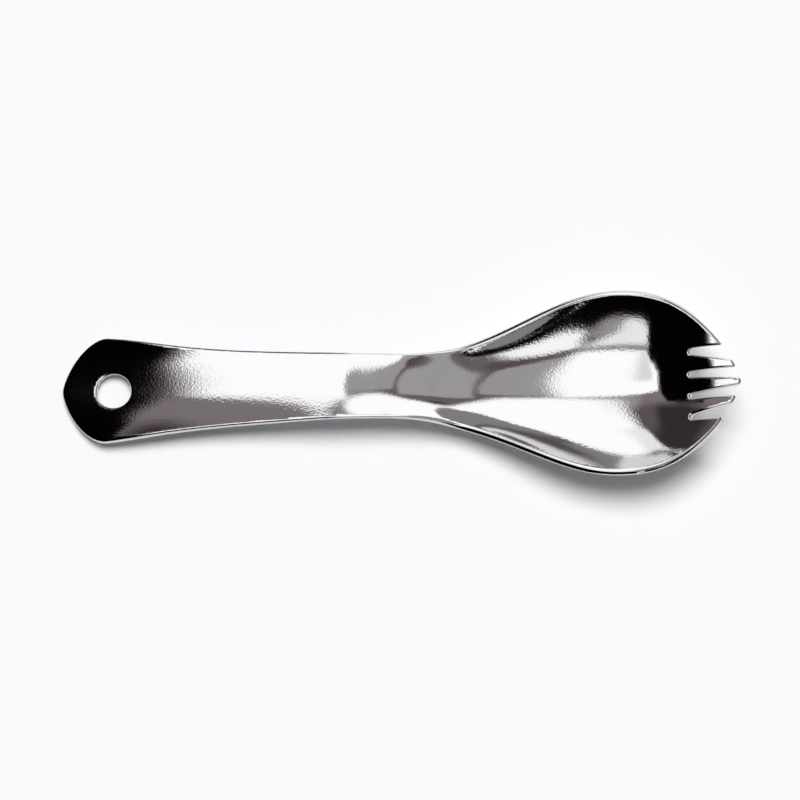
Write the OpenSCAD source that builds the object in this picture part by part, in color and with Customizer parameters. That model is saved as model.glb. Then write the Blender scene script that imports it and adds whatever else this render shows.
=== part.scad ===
// Spork: a spoon bowl that ends in three short tines, in one piece with its handle, pressed from steel sheet.
// Sizes are in millimetres. +X runs from the handle to the tines, and the part rests on the plane Z = 0.
// Heights are those of the middle of the sheet, measured from that plane.

/* [Sheet] */
// Thickness of the steel sheet
sheet_t = 1.6; // [1.2:0.1:2.2]
// Radius of the rounded edge all round the sheet
edge_r = 0.45; // [0.2:0.05:0.55]

/* [Handle] */
// Length from the handle's end to the narrowest place, the neck
handle_l = 75.6; // [65:0.2:100]
// Width of the handle just behind its rounded nose
handle_w = 25.4; // [20:0.2:32]
// Length of the nose that closes the handle's end
nose_l = 10.6; // [7:0.2:14]
// Width of the neck
neck_w = 15.5; // [12:0.5:20]
// Height of the middle line at the top of the arch, just behind the neck
arch_h = 8.4; // [5:0.2:11]

/* [Bowl] */
// Length from the neck to the tip of the middle tine
bowl_l = 84.4; // [75:0.2:105]
// Length from the widest place of the bowl to the tip of the middle tine
front_l = 27.9; // [24:0.1:34]
// Width of the bowl over its rims
bowl_w = 44.6; // [36:0.1:54]
// How far the rim stands above the middle line where the bowl is deepest
depth = 10.5; // [7:0.5:14]
// How much of that depth is a steep wall just inside the rim
wall_h = 1.4; // [0.4:0.2:4]
// Height of the tip of the middle tine
tip_h = 14.5; // [11:0.1:18]

/* [Tines] */
// Number of gaps, one more than there are tines
gap_count = 4; // [2:2:4]
// Width of each gap at its rounded root
gap_w = 1.55; // [1.2:0.05:2.2]
// Length of the gaps beside the middle tine, from the root to the tine's tip
gap_l = 11.8; // [10:0.1:16]
// Width of each tine at its root
tine_root_w = 3.8; // [2.6:0.1:4]
// Width of each tine at its tip
tine_tip_w = 1.6; // [1:0.05:2.2]

/* [Hanging hole] */
// Diameter of the hole
hole_d = 8.2; // [5:0.2:11]
// Length from the handle's end to the centre of the hole
hole_inset = 12.3; // [10:0.1:16]

/* [Hidden] */

length = handle_l + bowl_l;
widest_x = length - front_l;
half_t = sheet_t / 2;
over = sheet_t;
feel = sheet_t / 100;
$fn = 48;

// Places along the handle, as shares of the length from the nose to the neck, with shares of the width
// that the handle has there over the neck's.
taper_shares = [[0, 1], [0.2, 0.655], [0.4, 0.36], [0.6, 0.185], [0.8, 0.06], [1, 0]];
// Places along the back of the bowl, as shares of the length from the neck to the widest place, with
// shares of the width gained.
flare_shares = [[0.17, 0.02], [0.33, 0.135], [0.5, 0.37], [0.67, 0.675], [0.83, 0.915], [1, 1]];
// Places along the front of the bowl, as shares of its length, with shares of the full width that the
// rounded front is drawn with.
front_shares = [[0.25, 0.97], [0.5, 0.9], [0.75, 0.81], [1, 0.7]];
// Places along the handle, as shares of its length, with shares of the arch's height over the end's.
arch_shares = [
    [0, 0], [0.15, 0.13], [0.3, 0.305], [0.45, 0.48], [0.6, 0.66], [0.75, 0.875], [0.85, 1], [0.93, 0.945]];
// Places along the bowl, as shares of its length, with shares of the arch's height over the bottom's.
dip_shares = [
    [0.05, 0.785], [0.1, 0.615], [0.16, 0.36], [0.22, 0.155], [0.28, 0.045], [0.36, 0.002], [0.44, 0.008]];
// Places along the bowl, as shares of its length, with shares of the tip's height over the bottom's.
rise_shares = [
    [0.54, 0.042], [0.64, 0.115], [0.72, 0.2], [0.77, 0.285], [0.82, 0.44], [0.88, 0.685], [0.94, 0.88],
    [1, 1]];
// Places along the handle, as shares of its length, with how far the edge stands above the middle line, as
// shares of the bowl's depth. Over 0 the handle is a shallow trough, and below 0 it would be crowned.
trough_shares = [
    [0, 0.01], [0.2, 0.18], [0.4, 0.115], [0.6, 0.06], [0.75, 0.035], [0.85, 0.035], [0.93, 0.08], [1, 0.11]];
// The same along the bowl, as shares of its length.
rim_shares = [
    [0.08, 0.245], [0.14, 0.365], [0.2, 0.435], [0.26, 0.56], [0.32, 0.685], [0.4, 0.84], [0.48, 0.955],
    [0.57, 1], [0.66, 0.98], [0.74, 0.93], [0.82, 0.77], [0.9, 0.46], [1, 0.2]];
// Places along the handle, as shares of its length, with shares of the steep wall. Below 0 the section is
// steepest near the middle and flattens to the edge.
edge_wall_shares = [[0, 0], [0.7, 0], [0.9, -0.1]];
// The same along the bowl, as shares of its length.
wall_shares = [
    [0.05, -0.45], [0.15, -0.55], [0.25, 0.05], [0.35, 1], [0.45, 0.85], [0.55, 0.3], [0.65, -0.1], [0.75, 0],
    [0.85, 0], [1, 1]];

// Exponents of the rounded nose and front, and of the steep walls' section
nose_turn = 1.7;
nose_power = 0.68;
front_turn = 3;
front_power = 0.7;
wall_power = 6;

// Shares of the edge rounding at which the section has a point
rounding_shares = [0, 0.12, 0.45, 1];
// Points across the sheet, as shares of the half width inside the rounded edges
across_steps = 14;
// Number of sections along the nose, the handle, the back and the front of the bowl
nose_steps = 9;
handle_steps = 18;
back_steps = 26;
front_steps = 22;

// The smooth curve through a row of points, of steady curvature where its stretches meet

function eliminate(p, i, before) =
    let (
        left = p[i][0] - p[i - 1][0],
        right = p[i + 1][0] - p[i][0],
        turn = (p[i + 1][1] - p[i][1]) / right - (p[i][1] - p[i - 1][1]) / left,
        pivot = 2 * (left + right) - left * before[0]
    )
    [right / pivot, (6 * turn - left * before[1]) / pivot];

function bends(p) =
    let (
        last = len(p) - 1,
        rows = [for (i = 0, row = [0, 0]; i < last; i = i + 1, row = i < last ? eliminate(p, i, row) : row) row],
        back = [for (i = last, m = 0; i >= 0; i = i - 1, m = i >= 0 ? rows[i][1] - rows[i][0] * m : 0) m]
    )
    [for (i = [0:last]) back[last - i]];

function curve(p) = [p, bends(p)];

function seat(p, x, i = 0) = i < len(p) - 2 && x > p[i + 1][0] ? seat(p, x, i + 1) : i;

function along(c, x) =
    let (
        p = c[0],
        m = c[1],
        i = seat(p, x),
        step = p[i + 1][0] - p[i][0],
        a = (p[i + 1][0] - x) / step,
        b = (x - p[i][0]) / step
    )
    a * p[i][1] + b * p[i + 1][1] + ((pow(a, 3) - a) * m[i] + (pow(b, 3) - b) * m[i + 1]) * step * step / 6;

// The four curves along the part: width, middle line, edge and steep wall, by places from the handle's end

taper_l = handle_l - nose_l;
back_l = widest_x - handle_l;
rim_slope = atan((2 * depth + 2 * wall_h) / (bowl_w / 2));
bowl_mid_w = bowl_w - 2 * (edge_r * (1 - cos(rim_slope)) + (half_t - edge_r) * sin(rim_slope));
tip_slope = atan((tip_h - half_t) / (front_l + gap_l));
reach = length - half_t * sin(tip_slope);

width_curve = curve(concat(
    [[0, handle_w / 2 + (handle_w - neck_w) / 4 * nose_l / taper_l]],
    [for (s = taper_shares) [nose_l + s[0] * taper_l, (neck_w + s[1] * (handle_w - neck_w)) / 2]],
    [for (s = flare_shares) [handle_l + s[0] * back_l, (neck_w + s[1] * (bowl_mid_w - neck_w)) / 2]],
    [for (s = front_shares) [widest_x + s[0] * front_l, s[1] * bowl_mid_w / 2]]));

floor_curve = curve(concat(
    [for (s = arch_shares) [s[0] * handle_l, half_t + s[1] * (arch_h - half_t)]],
    [for (s = dip_shares) [handle_l + s[0] * bowl_l, half_t + s[1] * (arch_h - half_t)]],
    [for (s = rise_shares) [handle_l + s[0] * bowl_l, half_t + s[1] * (tip_h - half_t)]]));

edge_curve = curve(concat(
    [for (s = trough_shares) [s[0] * handle_l, s[1] * depth]],
    [for (s = rim_shares) [handle_l + s[0] * bowl_l, s[1] * depth]]));

wall_curve = curve(concat(
    [for (s = edge_wall_shares) [s[0] * handle_l, s[1] * wall_h]],
    [for (s = wall_shares) [handle_l + s[0] * bowl_l, s[1] * wall_h]]));

// Half the width of the blank: the width curve, drawn in at both ends. The section is drawn with the whole
// width curve, so the rounded ends cut it short and don't squeeze it.

function nose_share(x) = x < nose_l ? pow(1 - pow(1 - x / nose_l, nose_turn), nose_power) : 1;

function front_share(x) =
    x > widest_x ? pow(1 - pow((x - widest_x) / (reach - widest_x), front_turn), front_power) : 1;

function half_w(x) = along(width_curve, x) * nose_share(x) * front_share(x);

// What the section is at the place x: half the width that it is drawn with, the middle line's height, and
// how much of the edge's rise is a plain round dish and how much a steep wall

function station(x) =
    let (wall = along(wall_curve, x))
    [along(width_curve, x), along(floor_curve, x), along(edge_curve, x) - wall, wall];

function high(here, y) =
    let (v = abs(y) / here[0])
    here[1] + here[2] * pow(v, 2) + here[3] * pow(v, wall_power);

// A point of the sheet at the place x, at y from the middle line, raised along the sheet's own normal

function sheet_point(x, here, ahead, y, raise) =
    let (
        middle = high(here, y),
        climb = (high(ahead, y) - middle) / feel,
        turned = (high(here, abs(y) + feel) - high(here, abs(y) - feel)) / (2 * feel) * sign(y),
        normal = [-climb, -turned, 1] / norm([climb, turned, 1])
    )
    [x, y, middle] + raise * normal;

// Half the thickness at a distance from the edge, which is rounded

function half_thick(inset) = half_t - edge_r + sqrt(max(0, pow(edge_r, 2) - pow(edge_r - min(inset, edge_r), 2)));

function section(x) =
    let (
        here = station(x),
        ahead = station(x + feel),
        w = half_w(x),
        lean = sqrt(1 + pow((half_w(x + feel) - w) / feel, 2)),
        inset = min(edge_r * lean, w / 2),
        rim = [for (s = rounding_shares) [w - s * inset, half_thick(s * edge_r)]],
        flat = [for (i = [1:across_steps - 1]) [(1 - 2 * i / across_steps) * (w - inset), half_t]],
        top = concat(rim, flat, [for (i = [len(rim) - 1:-1:0]) [-rim[i][0], rim[i][1]]])
    )
    concat(
        [for (p = top) sheet_point(x, here, ahead, p[0], p[1])],
        [for (i = [len(top) - 1:-1:0]) sheet_point(x, here, ahead, top[i][0], -top[i][1])]);

// Places of the sections, close together where the blank's outline turns across the part

places = concat(
    [for (i = [1:nose_steps - 1]) nose_l * (1 - cos(90 * i / nose_steps))],
    [for (i = [0:handle_steps - 1]) nose_l + taper_l * i / handle_steps],
    [for (i = [0:back_steps - 1]) handle_l + back_l * i / back_steps],
    [for (i = [0:front_steps - 1]) widest_x + (reach - widest_x) * sin(90 * i / front_steps)]);

// The pressed sheet, whole, in places measured from the handle's end

module pressed_sheet() {
    rings = [for (x = places) section(x)];
    round = len(rings[0]);
    skin = [for (r = [0:len(rings) - 2], k = [0:round - 1], half = [0, 1])
        let (a = r * round + k, b = r * round + (k + 1) % round)
        half == 0 ? [a, a + round, b + round] : [a, b + round, b]];
    polyhedron(
        points = [for (ring = rings, point = ring) point],
        faces = concat(
            [[for (k = [0:round - 1]) k]],
            skin,
            [[for (k = [round - 1:-1:0]) (len(rings) - 1) * round + k]]),
        convexity = 6);
}

// Outline of one gap on the side of positive Y, seen from above. Its outer side runs along the part, and
// its inner side slants inwards, so that the tine inside it narrows to its tip.

tine_pitch = tine_root_w + gap_w;
root_x = length - gap_l + gap_w / 2;

module gap_outline(number) {
    middle = tine_pitch * (number - 1 / 2);
    tine_tip = number == 1 ? tine_tip_w / 2 : middle - tine_pitch + gap_w / 2 + tine_tip_w;
    tip_x = length - (number - 1) * gap_w;
    slant = (middle - gap_w / 2 - tine_tip) / (tip_x - root_x);
    translate([root_x, middle]) circle(d = gap_w);
    polygon([
        [root_x, middle - gap_w / 2],
        [length + over, middle - gap_w / 2 - slant * (length + over - root_x)],
        [length + over, middle + gap_w / 2],
        [root_x, middle + gap_w / 2]]);
}

module gaps() {
    for (number = [1:gap_count / 2], side = [0, 1])
        mirror([0, side, 0])
            linear_extrude(height = 2 * tip_h)
                gap_outline(number);
}

// Tilt and height of the sheet at the hanging hole, whose axis is square to the sheet

hole_z = along(floor_curve, hole_inset);
hole_tilt = atan((along(floor_curve, hole_inset + feel) - hole_z) / feel);

module hanging_hole() {
    translate([hole_inset, 0, hole_z])
        rotate([0, -hole_tilt, 0])
            cylinder(d = hole_d, h = 2 * (sheet_t + over), center = true);
}

module spork() {
    color("silver")
        translate([-length / 2, 0, 0])
            difference() {
                pressed_sheet();
                gaps();
                hanging_hole();
            }
}

spork();
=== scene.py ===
import math

import bmesh
import bpy
import numpy as np
from mathutils import Matrix, Vector

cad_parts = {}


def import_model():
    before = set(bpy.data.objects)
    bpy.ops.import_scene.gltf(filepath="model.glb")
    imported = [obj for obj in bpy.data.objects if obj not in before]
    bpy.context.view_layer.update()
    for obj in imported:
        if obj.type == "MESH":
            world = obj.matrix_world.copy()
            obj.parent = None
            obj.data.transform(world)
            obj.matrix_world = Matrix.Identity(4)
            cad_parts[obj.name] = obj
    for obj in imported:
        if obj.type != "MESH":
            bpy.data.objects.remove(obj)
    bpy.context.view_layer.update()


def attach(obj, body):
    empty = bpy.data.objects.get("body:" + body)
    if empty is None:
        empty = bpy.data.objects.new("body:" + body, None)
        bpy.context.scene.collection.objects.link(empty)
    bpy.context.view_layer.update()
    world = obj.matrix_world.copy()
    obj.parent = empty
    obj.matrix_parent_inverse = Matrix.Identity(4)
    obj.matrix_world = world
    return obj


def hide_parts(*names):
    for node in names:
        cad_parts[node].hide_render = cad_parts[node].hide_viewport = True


# A steel spork, pressed from one sheet, on a pale floor inside a small studio tent.
# Metres, in the part's own frame: +X runs from the handle to the tines, and the floor is Z = 0.
# Places along the spork are measured from the handle's end, and heights are those of the sheet's middle.

MM = 0.001
AXES = {"X": Vector((1, 0, 0)), "Y": Vector((0, 1, 0))}

# Sheet, handle, bowl, tines and hole, at the part's sizes
SHEET_T = 1.6 * MM
EDGE_R = 0.45 * MM
HANDLE_L = 75.6 * MM
HANDLE_W = 25.4 * MM
NOSE_L = 10.6 * MM
NECK_W = 15.5 * MM
ARCH_H = 8.4 * MM
BOWL_L = 84.4 * MM
FRONT_L = 27.9 * MM
BOWL_W = 44.6 * MM
DEPTH = 10.5 * MM
TIP_H = 14.5 * MM
WALL_H = 1.4 * MM
GAP_COUNT = 4
GAP_W = 1.55 * MM
GAP_L = 11.8 * MM
TINE_ROOT_W = 3.8 * MM
TINE_TIP_W = 1.6 * MM
HOLE_D = 8.2 * MM
HOLE_INSET = 12.3 * MM

LENGTH = HANDLE_L + BOWL_L
WIDEST = LENGTH - FRONT_L
HALF_T = SHEET_T / 2
TINE_PITCH = TINE_ROOT_W + GAP_W
ROOT_X = LENGTH - GAP_L + GAP_W / 2

# How the width goes: places as shares of the handle, the back and the front of the bowl, with shares of
# the width gained over the neck
taper_shares = [(0, 1), (0.2, 0.655), (0.4, 0.36), (0.6, 0.185), (0.8, 0.06), (1, 0)]
flare_shares = [(0.17, 0.02), (0.33, 0.135), (0.5, 0.37), (0.67, 0.675), (0.83, 0.915), (1, 1)]
front_shares = [(0.25, 0.97), (0.5, 0.9), (0.75, 0.81), (1, 0.7)]
NOSE_TURN = 1.7
NOSE_POWER = 0.68
FRONT_TURN = 3
FRONT_POWER = 0.7
WALL_POWER = 6

# How the middle line rises over the arch, falls into the bowl and rises to the tines
arch_shares = [(0, 0), (0.15, 0.13), (0.3, 0.305), (0.45, 0.48), (0.6, 0.66), (0.75, 0.875), (0.85, 1),
               (0.93, 0.945)]
dip_shares = [(0.05, 0.785), (0.1, 0.615), (0.16, 0.36), (0.22, 0.155), (0.28, 0.045), (0.36, 0.002),
              (0.44, 0.008)]
rise_shares = [(0.54, 0.042), (0.64, 0.115), (0.72, 0.2), (0.77, 0.285), (0.82, 0.44), (0.88, 0.685),
               (0.94, 0.88), (1, 1)]
# How far the edge stands above the middle line, in shares of the bowl's depth
trough_shares = [(0, 0.01), (0.2, 0.18), (0.4, 0.115), (0.6, 0.06), (0.75, 0.035), (0.85, 0.035),
                 (0.93, 0.08), (1, 0.11)]
rim_shares = [(0.08, 0.245), (0.14, 0.365), (0.2, 0.435), (0.26, 0.56), (0.32, 0.685), (0.4, 0.84),
              (0.48, 0.955), (0.57, 1), (0.66, 0.98), (0.74, 0.93), (0.82, 0.77), (0.9, 0.46), (1, 0.2)]
# How much of that rise is a steep wall rather than a plain round dish
wall_shares = [(0.7, 0), (0.9, -0.1)]
dish_wall_shares = [(0.05, -0.45), (0.15, -0.55), (0.25, 0.05), (0.35, 1), (0.45, 0.85), (0.55, 0.3),
                    (0.65, -0.1), (0.75, 0), (0.85, 0), (1, 1)]

# How finely the form is felt for its slope, and the mesh's squares and steps
FEEL = 0.01 * MM
SQUARE = 0.5 * MM
MERGE = SQUARE / 100
NOSE_STEPS = 16
ROOT_STEPS = 10
HOLE_STEPS = 28
ROUND_STEPS = 4
FRONT_SAMPLES = 400
CORNER_SAMPLES = 600

# The rounding of the shoulders' and tines' corners, and how far before them the outline's points stop
CORNER_R = 0.6 * MM
CORNER_STEPS = 3
CORNER_CLEAR = 1.5 * CORNER_R


# The smooth curve through a row of points, of steady curvature where its stretches meet

def curve(points):
    x, y = np.array(points, float).T
    step = np.diff(x)
    rows = np.eye(len(x))
    turns = np.zeros(len(x))
    for i in range(1, len(x) - 1):
        rows[i, i - 1:i + 2] = step[i - 1], 2 * (step[i - 1] + step[i]), step[i]
        turns[i] = 6 * ((y[i + 1] - y[i]) / step[i] - (y[i] - y[i - 1]) / step[i - 1])
    return x, y, np.linalg.solve(rows, turns)


def along(line, place):
    x, y, bend = line
    i = np.clip(np.searchsorted(x, place) - 1, 0, len(x) - 2)
    step = x[i + 1] - x[i]
    a = (x[i + 1] - place) / step
    b = (place - x[i]) / step
    return a * y[i] + b * y[i + 1] + ((a**3 - a) * bend[i] + (b**3 - b) * bend[i + 1]) * step**2 / 6


# The form that the sheet is pressed over

taper_l = HANDLE_L - NOSE_L
back_l = WIDEST - HANDLE_L
rim_slope = math.atan((2 * DEPTH + 2 * WALL_H) / (BOWL_W / 2))
bowl_mid_w = BOWL_W - 2 * (EDGE_R * (1 - math.cos(rim_slope)) + (HALF_T - EDGE_R) * math.sin(rim_slope))
tip_slope = math.atan((TIP_H - HALF_T) / (FRONT_L + GAP_L))
REACH = LENGTH - HALF_T * math.sin(tip_slope)

width_line = curve(
    [(0, HANDLE_W / 2 + (HANDLE_W - NECK_W) / 4 * NOSE_L / taper_l)]
    + [(NOSE_L + s * taper_l, (NECK_W + w * (HANDLE_W - NECK_W)) / 2) for s, w in taper_shares]
    + [(HANDLE_L + s * back_l, (NECK_W + w * (bowl_mid_w - NECK_W)) / 2) for s, w in flare_shares]
    + [(WIDEST + s * FRONT_L, w * bowl_mid_w / 2) for s, w in front_shares])
floor_line = curve(
    [(s * HANDLE_L, HALF_T + h * (ARCH_H - HALF_T)) for s, h in arch_shares]
    + [(HANDLE_L + s * BOWL_L, HALF_T + h * (ARCH_H - HALF_T)) for s, h in dip_shares]
    + [(HANDLE_L + s * BOWL_L, HALF_T + h * (TIP_H - HALF_T)) for s, h in rise_shares])
edge_line = curve(
    [(s * HANDLE_L, h * DEPTH) for s, h in trough_shares]
    + [(HANDLE_L + s * BOWL_L, h * DEPTH) for s, h in rim_shares])
wall_line = curve(
    [(0, 0)] + [(s * HANDLE_L, h * WALL_H) for s, h in wall_shares]
    + [(HANDLE_L + s * BOWL_L, h * WALL_H) for s, h in dish_wall_shares])


def dish_width(place):
    """Half the width that the section is drawn with, which the rounded ends don't narrow."""
    return along(width_line, place)


def half_width(place):
    """Half the width of the blank."""
    nose = np.clip(1 - place / NOSE_L, 0, 1)
    front = np.clip((place - WIDEST) / (REACH - WIDEST), 0, 1)
    return dish_width(place) * (1 - nose**NOSE_TURN)**NOSE_POWER * (1 - front**FRONT_TURN)**FRONT_POWER


def height(place, y):
    """The height of the sheet's middle."""
    share = y / dish_width(place)
    rise, wall = along(edge_line, place), along(wall_line, place)
    return along(floor_line, place) + (rise - wall) * share**2 + wall * share**WALL_POWER


def normal(place, y):
    """The direction square to the sheet."""
    climb = (height(place + FEEL, y) - height(place - FEEL, y)) / (2 * FEEL)
    turned = (height(place, y + FEEL) - height(place, y - FEEL)) / (2 * FEEL)
    up = np.stack([-climb, -turned, np.ones_like(climb)], axis=1)
    return up / np.linalg.norm(up, axis=1, keepdims=True)


def press(flat):
    """The places of a flat blank's points once it is pressed over the form."""
    place, y, z = flat.T
    middle = np.stack([place, y, height(place, y)], axis=1)
    return middle + z[:, None] * normal(place, y) - [LENGTH / 2, 0, 0]


# The flat blank: half its outline, mirrored, rounded all round its edges and cut into small squares

def front_place(half):
    """Where the rounded front has this half width."""
    places = np.linspace(WIDEST, REACH, FRONT_SAMPLES)
    return float(np.interp(-half, -half_width(places), places))


def gap_side(number):
    """The slanted inner side of a gap: how far it lies from the middle line at any place."""
    middle = TINE_PITCH * (number - 0.5)
    tip = TINE_TIP_W / 2 if number == 1 else middle - TINE_PITCH + GAP_W / 2 + TINE_TIP_W
    slant = (middle - GAP_W / 2 - tip) / (LENGTH - (number - 1) * GAP_W - ROOT_X)
    return lambda place: middle - GAP_W / 2 - slant * (place - ROOT_X)


def arc(x, y, r, start, end, steps, squash=1):
    """Points along an arc, which squash narrows along the spork."""
    turns = [start + (end - start) * i / steps for i in range(steps + 1)]
    return [(x + squash * r * math.cos(t), y + r * math.sin(t)) for t in turns]


def tine_corner(number):
    """Where a gap's inner side meets the rounded front."""
    side = gap_side(number)
    places = np.linspace(ROOT_X, REACH, CORNER_SAMPLES)
    gap = half_width(places) - side(places)
    place = float(np.interp(0, -gap, places)) if gap[0] > 0 else REACH
    return place, float(side(place))


def half_outline():
    """Half the blank's outline, from the nose round to the hole, and the corners among its points."""
    places = [NOSE_L * (1 - math.cos(math.pi / 2 * i / NOSE_STEPS)) for i in range(NOSE_STEPS)]
    places += list(np.arange(NOSE_L, WIDEST, 2 * SQUARE))
    outer = GAP_COUNT // 2
    shoulder_y = TINE_PITCH * (outer - 0.5) + GAP_W / 2
    shoulder_x = front_place(shoulder_y)
    places += list(np.arange(WIDEST, shoulder_x - CORNER_CLEAR, 2 * SQUARE))
    points = [(place, float(half_width(place))) for place in places]
    corners = [len(points)]
    points.append((shoulder_x, shoulder_y))
    for number in range(outer, 0, -1):
        points += arc(ROOT_X, TINE_PITCH * (number - 0.5), GAP_W / 2, math.pi / 2, 1.5 * math.pi, ROOT_STEPS)
        corners.append(len(points))
        points.append(tine_corner(number))
        if number > 1:
            y = TINE_PITCH * (number - 1.5) + GAP_W / 2
            corners.append(len(points))
            points.append((front_place(y), y))
    points.append((REACH, 0))
    tilt = math.atan(float(along(floor_line, HOLE_INSET + FEEL) - along(floor_line, HOLE_INSET)) / FEEL)
    points += arc(HOLE_INSET, 0, HOLE_D / 2, 0, math.pi, HOLE_STEPS, squash=math.cos(tilt))
    return points, corners


def all_of(bm):
    return bm.verts[:] + bm.edges[:] + bm.faces[:]


def cut_up(bm, axis, low, high):
    """Cuts the blank along a row of planes, a square apart."""
    for i in range(int(low / SQUARE), int(high / SQUARE) + 1):
        bmesh.ops.bisect_plane(bm, geom=all_of(bm), dist=MERGE, plane_co=AXES[axis] * i * SQUARE,
                               plane_no=AXES[axis])


def mirrored(bm, axis):
    bmesh.ops.mirror(bm, geom=all_of(bm), axis=axis, merge_dist=MERGE)


def blank():
    """The flat blank, its middle at height 0, with its rim rounded above and below."""
    bm = bmesh.new()
    points, corners = half_outline()
    verts = [bm.verts.new((x, y, HALF_T - EDGE_R)) for x, y in points]
    bm.faces.new(verts)
    bmesh.ops.bevel(bm, geom=[verts[i] for i in corners], offset=CORNER_R, offset_type="OFFSET",
                    segments=CORNER_STEPS, profile=0.5, affect="VERTICES", material=-1)
    mirrored(bm, "Y")
    top = bm.faces[:]
    turns = [math.pi / 2 * i / ROUND_STEPS for i in range(ROUND_STEPS + 1)]
    for before, turn in zip(turns, turns[1:]):
        bmesh.ops.inset_region(bm, faces=top, thickness=EDGE_R * (math.cos(before) - math.cos(turn)),
                               use_boundary=True, use_even_offset=True)
        for vert in {v for face in top for v in face.verts}:
            vert.co.z = HALF_T - EDGE_R * (1 - math.sin(turn))
    cut_up(bm, "X", 0, LENGTH)
    cut_up(bm, "Y", -BOWL_W / 2, BOWL_W / 2)
    rim = [edge for edge in bm.edges if edge.is_boundary]
    wall = bmesh.ops.extrude_edge_only(bm, edges=rim)["geom"]
    for vert in [v for v in wall if isinstance(v, bmesh.types.BMVert)]:
        vert.co.z = 0
    mirrored(bm, "Z")
    bmesh.ops.recalc_face_normals(bm, faces=bm.faces)
    return bm


def linked(name, data):
    made = bpy.data.objects.new(name, data)
    bpy.context.scene.collection.objects.link(made)
    return made


def object_of(name, bm, smooth=True):
    mesh = bpy.data.meshes.new(name)
    bm.to_mesh(mesh)
    bm.free()
    for face in mesh.polygons:
        face.use_smooth = smooth
    return linked(name, mesh)


def pressed_spork():
    made = object_of("pressed_spork", blank())
    mesh = made.data
    flat = np.zeros(len(mesh.vertices) * 3)
    mesh.vertices.foreach_get("co", flat)
    mesh.vertices.foreach_set("co", press(flat.reshape(-1, 3)).ravel())
    mesh.update()
    return made


# Polished steel: grey metal with a breath of mauve, and the fine grain of a tumbled finish

STEEL = (0.65, 0.645, 0.655, 1)
SHEEN = 0.06
GRAIN_SIZE = 0.5 * MM
GRAIN_H = 0.01 * MM
GRAIN_DETAIL = 1


def steel():
    material = bpy.data.materials.new("polished_steel")
    material.use_nodes = True
    nodes, links = material.node_tree.nodes, material.node_tree.links
    shader = nodes["Principled BSDF"]
    shader.inputs["Base Color"].default_value = STEEL
    shader.inputs["Metallic"].default_value = 1
    shader.inputs["Roughness"].default_value = SHEEN
    place = nodes.new("ShaderNodeTexCoord")
    grain = nodes.new("ShaderNodeTexNoise")
    grain.inputs["Scale"].default_value = 1 / GRAIN_SIZE
    grain.inputs["Detail"].default_value = GRAIN_DETAIL
    links.new(place.outputs["Object"], grain.inputs["Vector"])
    bump = nodes.new("ShaderNodeBump")
    bump.inputs["Distance"].default_value = GRAIN_H
    bump.inputs["Strength"].default_value = 1
    links.new(grain.outputs["Fac"], bump.inputs["Height"])
    links.new(bump.outputs["Normal"], shader.inputs["Normal"])
    return material


# The studio: a pale floor, and an egg-shaped tent that only the steel sees, hung with soft-edged cards

TENT_AXES = (183 * MM, 227 * MM, 253 * MM)
TENT_X = 4 * MM
TENT_ROUND = 96
TENT_RINGS = 48

# The glow of bare tent, the tint of its dark parts, and the level from which a card is plain white
DARK = 0.001
MAUVE = (1.12, 0.9, 1)
PALE_LEVEL = 0.6

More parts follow.
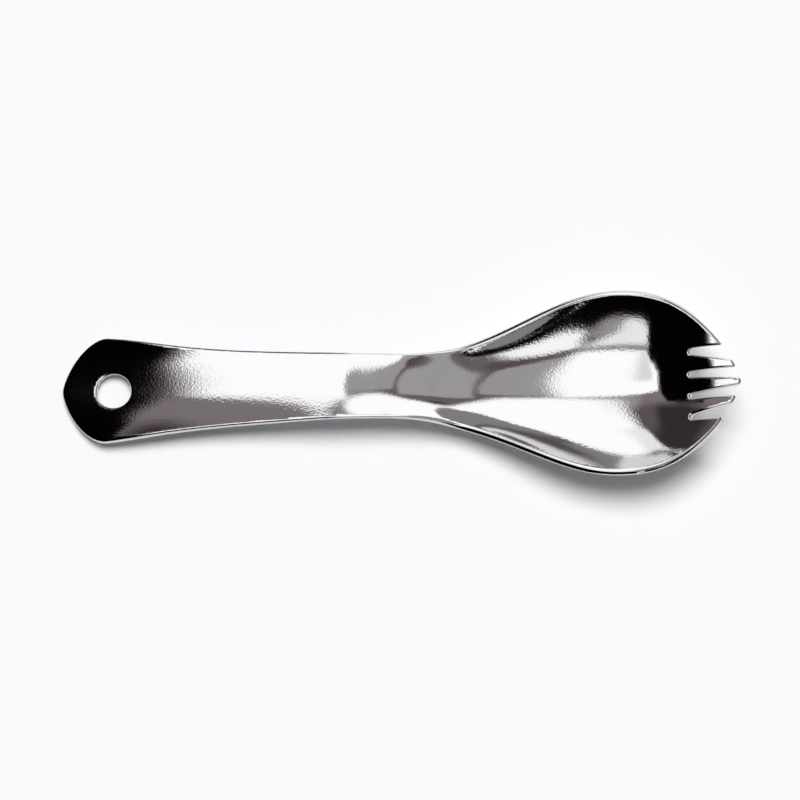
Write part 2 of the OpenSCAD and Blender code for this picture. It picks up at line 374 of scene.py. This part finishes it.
# Each card's level, the width of its soft edge in degrees, and its corners anticlockwise, in degrees east
# and north of straight up. A card lies over those before it.
cards = [
    # East: a darker grey, then its far and near parts and a dark fold
    (0.17, 5, [(3, 56), (3, -32), (12, -40), (40, -62), (54, -62), (54, 56)]),
    (0.47, 7, [(28, 32), (28, -32), (42, -50), (54, -58), (54, 40)]),
    (0.45, 4, [(2, 20), (5, -28), (9, -34), (22, -33), (25, 0), (23, 19)]),
    (0.11, 5, [(14, -34), (13, -39), (28, -50), (32, -47), (24, -34)]),
    # North-west: dark, growing lighter towards its foot and corner
    (0.04, 10, [(-3, 90), (-70, 90), (-60, 36), (-50, 22), (-40, 18), (-3, 18)]),
    (0.13, 20, [(-2, 68), (-26, 64), (-32, 26), (-2, 26)]),
    (0.25, 12, [(-56, 34), (-52, 14), (-3, 14), (-3, 33)]),
    (0.45, 12, [(-10, 34), (-10, 18), (0, 18), (0, 42)]),
    # West: black
    (0.001, 3, [(-40.5, 20), (-47, 32), (-75, 33), (-75, -50), (-42, -50)]),
    # North: white, with its western edge and corner, what lies beyond its top, and a dark fold in it
    (1.5, 9, [(-1, 22), (11, 23), (50, 68), (50, 98), (10, 92), (-1, 84)]),
    (1.5, 6, [(-4, 25), (8, 26), (12, 84), (-4, 84)]),
    (1.2, 6, [(-23, 83), (-6, 60), (2, 60), (2, 83)]),
    (0.001, 4, [(-28, 83), (8, 84), (12, 95), (-34, 95)]),
    (0.3, 5, [(-16, 95), (8, 94), (8, 116), (-32, 112)]),
    (0.22, 4, [(26, 82), (30, 82), (40, 97), (36, 99)]),
    # West of the middle: three cards that fade in to white
    (0.1, 2, [(-40.5, 17), (-40, -5), (-30, -19), (-3, -19), (-3, 20)]),
    (0.5, 2, [(-38.5, 17), (-38, -4), (-28, -17), (-3, -17), (-3, 20)]),
    (1.5, 2, [(-36.5, 17), (-36, -3), (-27, -15), (-3, -15), (-3, 20)]),
    # The middle: a seam below it, the white, and its softer western side
    (0.35, 3, [(-18, -28), (-18, -37), (9, -44), (9, -33)]),
    (1.5, 3, [(-31, 17), (-31, -7), (-16, -29), (8, -36), (4, 22)]),
    (1.05, 6, [(-28, 3), (-26, -8), (-16, -29), (-11, -31), (-10, 3)]),
    # South and south-east: white, with a grey between them and a spark beyond
    (1.2, 5, [(-16, -35), (-13, -50), (-4, -56), (3, -56), (6, -39)]),
    (0.4, 5, [(2, -46), (2, -57), (11, -57), (9, -46)]),
    (1.4, 4, [(8, -40), (13, -53), (22, -58), (33, -61), (38, -63), (30, -53), (22, -45), (14, -40)]),
    (1.4, 3, [(30, -69), (30, -73), (34, -82), (38, -80), (39, -73), (35, -68)]),
]


def enabled(sockets, name):
    """The socket of this name that its node's settings leave in use."""
    return next(socket for socket in sockets if socket.name == name and socket.enabled)


class Nodes:
    """Short names for the nodes of a material or world, which start empty."""

    def __init__(self, owner):
        owner.use_nodes = True
        self.nodes, self.links = owner.node_tree.nodes, owner.node_tree.links
        self.nodes.clear()

    def new(self, kind, **settings):
        node = self.nodes.new("ShaderNode" + kind)
        for name, value in settings.items():
            setattr(node, name, value)
        return node

    def fill(self, socket, value):
        if isinstance(value, bpy.types.NodeSocket):
            self.links.new(value, socket)
        else:
            socket.default_value = value

    def math(self, operation, *values):
        node = self.new("Math", operation=operation)
        for socket, value in zip(node.inputs, values):
            self.fill(socket, value)
        return node.outputs[0]

    def vector(self, operation, *values):
        node = self.new("VectorMath", operation=operation)
        for socket, value in zip(node.inputs, values):
            self.fill(socket, value)
        return node

    def smooth(self, value, low, high):
        node = self.new("MapRange", interpolation_type="SMOOTHSTEP")
        for name, amount in (("Value", value), ("From Min", low), ("From Max", high)):
            self.fill(node.inputs[name], amount)
        return node.outputs[0]

    def mix(self, factor, before, after):
        node = self.new("Mix", data_type="FLOAT")
        for name, amount in (("Factor", factor), ("A", before), ("B", after)):
            self.fill(node.inputs[name], amount)
        return node.outputs[0]


def card_mask(n, spot, soft, corners):
    """1 inside a card and 0 outside it, with soft edges."""
    mask = 1
    for (e, north), (e2, north2) in zip(corners, corners[1:] + corners[:1]):
        along_edge = Vector((e2 - e, north2 - north)).normalized()
        inward = Vector((-along_edge.y, along_edge.x, 0))
        far = n.math("SUBTRACT", n.vector("DOT_PRODUCT", spot, inward).outputs["Value"],
                     inward.x * e + inward.y * north)
        edge = n.smooth(far, -soft / 2, soft / 2)
        mask = edge if mask == 1 else n.math("MULTIPLY", mask, edge)
    return mask


def tent_glow():
    """The cards on the tent, by the direction that each of its points lies in from its own middle."""
    material = bpy.data.materials.new("tent_cards")
    n = Nodes(material)
    place = n.new("TexCoord").outputs["Object"]
    seen = n.vector("NORMALIZE", n.vector("DIVIDE", place, TENT_AXES).outputs[0]).outputs[0]
    parts = n.new("SeparateXYZ")
    n.fill(parts.inputs[0], seen)
    from_top = n.math("MULTIPLY", n.math("ARCCOSINE", parts.outputs["Z"]), math.degrees(1))
    flat = n.vector("NORMALIZE", n.vector("MULTIPLY", seen, (1, 1, 0)).outputs[0]).outputs[0]
    spread = n.vector("SCALE", flat)
    n.fill(spread.inputs["Scale"], from_top)
    spot = spread.outputs[0]
    level = DARK
    for glow, soft, corners in cards:
        level = n.mix(card_mask(n, spot, soft, corners), level, glow)
    tint = n.new("Mix", data_type="VECTOR")
    for name, value in (("Factor", n.smooth(level, 0, PALE_LEVEL)), ("A", MAUVE), ("B", (1, 1, 1))):
        n.fill(enabled(tint.inputs, name), value)
    glow = n.new("Emission")
    n.fill(glow.inputs["Color"], enabled(tint.outputs, "Result"))
    n.fill(glow.inputs["Strength"], level)
    n.fill(n.new("OutputMaterial").inputs["Surface"], glow.outputs[0])
    return material


def tent():
    bm = bmesh.new()
    bmesh.ops.create_uvsphere(bm, u_segments=TENT_ROUND, v_segments=TENT_RINGS, radius=1,
                              matrix=Matrix.Diagonal(TENT_AXES).to_4x4())
    made = object_of("studio_tent", bm)
    made.location = (TENT_X, 0, 0)
    made.visible_camera = made.visible_diffuse = made.visible_shadow = False
    made.data.materials.append(tent_glow())


# The floor, in metres from its middle to its edge, and its paper

FLOOR_HALF = 5
PAPER = (0.94, 0.947, 0.964, 1)


def floor():
    bm = bmesh.new()
    bmesh.ops.create_grid(bm, x_segments=1, y_segments=1, size=FLOOR_HALF)
    made = object_of("pale_floor", bm, smooth=False)
    material = bpy.data.materials.new("floor_paper")
    material.use_nodes = True
    shader = material.node_tree.nodes["Principled BSDF"]
    shader.inputs["Base Color"].default_value = PAPER
    shader.inputs["Roughness"].default_value = 1
    shader.inputs["Specular IOR Level"].default_value = 0
    made.data.materials.append(material)


# Sun and sky light the paper together at a level near 1, so that it shows in its own colour

SKY_LEVEL = 0.2
SUN_LEVEL = 2.76
SUN_TILT = math.radians(16)
SUN_SPREAD = math.radians(34)


def sun():
    """A wide soft sun from the north, which throws the spork's shadow on the paper."""
    data = bpy.data.lights.new("soft_sun", "SUN")
    data.angle = SUN_SPREAD
    data.energy = SUN_LEVEL
    made = linked("soft_sun", data)
    made.rotation_euler = (-SUN_TILT, 0, 0)
    made.visible_glossy = False
    made.visible_camera = False


def world():
    """A sky that lights at its own level and that the camera sees white."""
    made = bpy.data.worlds.new("white_room")
    bpy.context.scene.world = made
    n = Nodes(made)
    ray = n.new("LightPath")
    white = n.mix(ray.outputs["Is Camera Ray"], SKY_LEVEL, 1)
    back = n.new("Background")
    n.fill(back.inputs["Strength"], white)
    n.fill(n.new("OutputWorld").inputs["Surface"], back.outputs[0])


# The camera leans back from straight above by its tilt, a metre from the point that it aims at, and sees
# this width there. Its sensor and lens are in the camera's own millimetres, and its roll is in radians.

CAMERA_TILT = math.radians(13.16)
CAMERA_D = 1
CAMERA_ROLL = 0.0022
CLIP_START = 0.05
CLIP_END = 20
SENSOR = 36
SEEN_W = 189.7 * MM
AIM = Vector((-0.06 * MM, -1.375 * MM, 0))


def camera():
    data = bpy.data.cameras.new("camera")
    data.sensor_width = SENSOR
    data.lens = SENSOR * CAMERA_D / SEEN_W
    data.clip_start = CLIP_START
    data.clip_end = CLIP_END
    made = linked("camera", data)
    turn = Matrix.Rotation(CAMERA_TILT, 4, "X")
    back = Matrix.Translation((0, 0, CAMERA_D))
    made.matrix_world = Matrix.Translation(AIM) @ turn @ back @ Matrix.Rotation(CAMERA_ROLL, 4, "Z")
    bpy.context.scene.camera = made


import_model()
bpy.context.scene.view_settings.view_transform = "Standard"

spork = pressed_spork()
spork.data.materials.append(steel())
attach(spork, "root")
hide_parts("spork")

world()
floor()
tent()
sun()
camera()
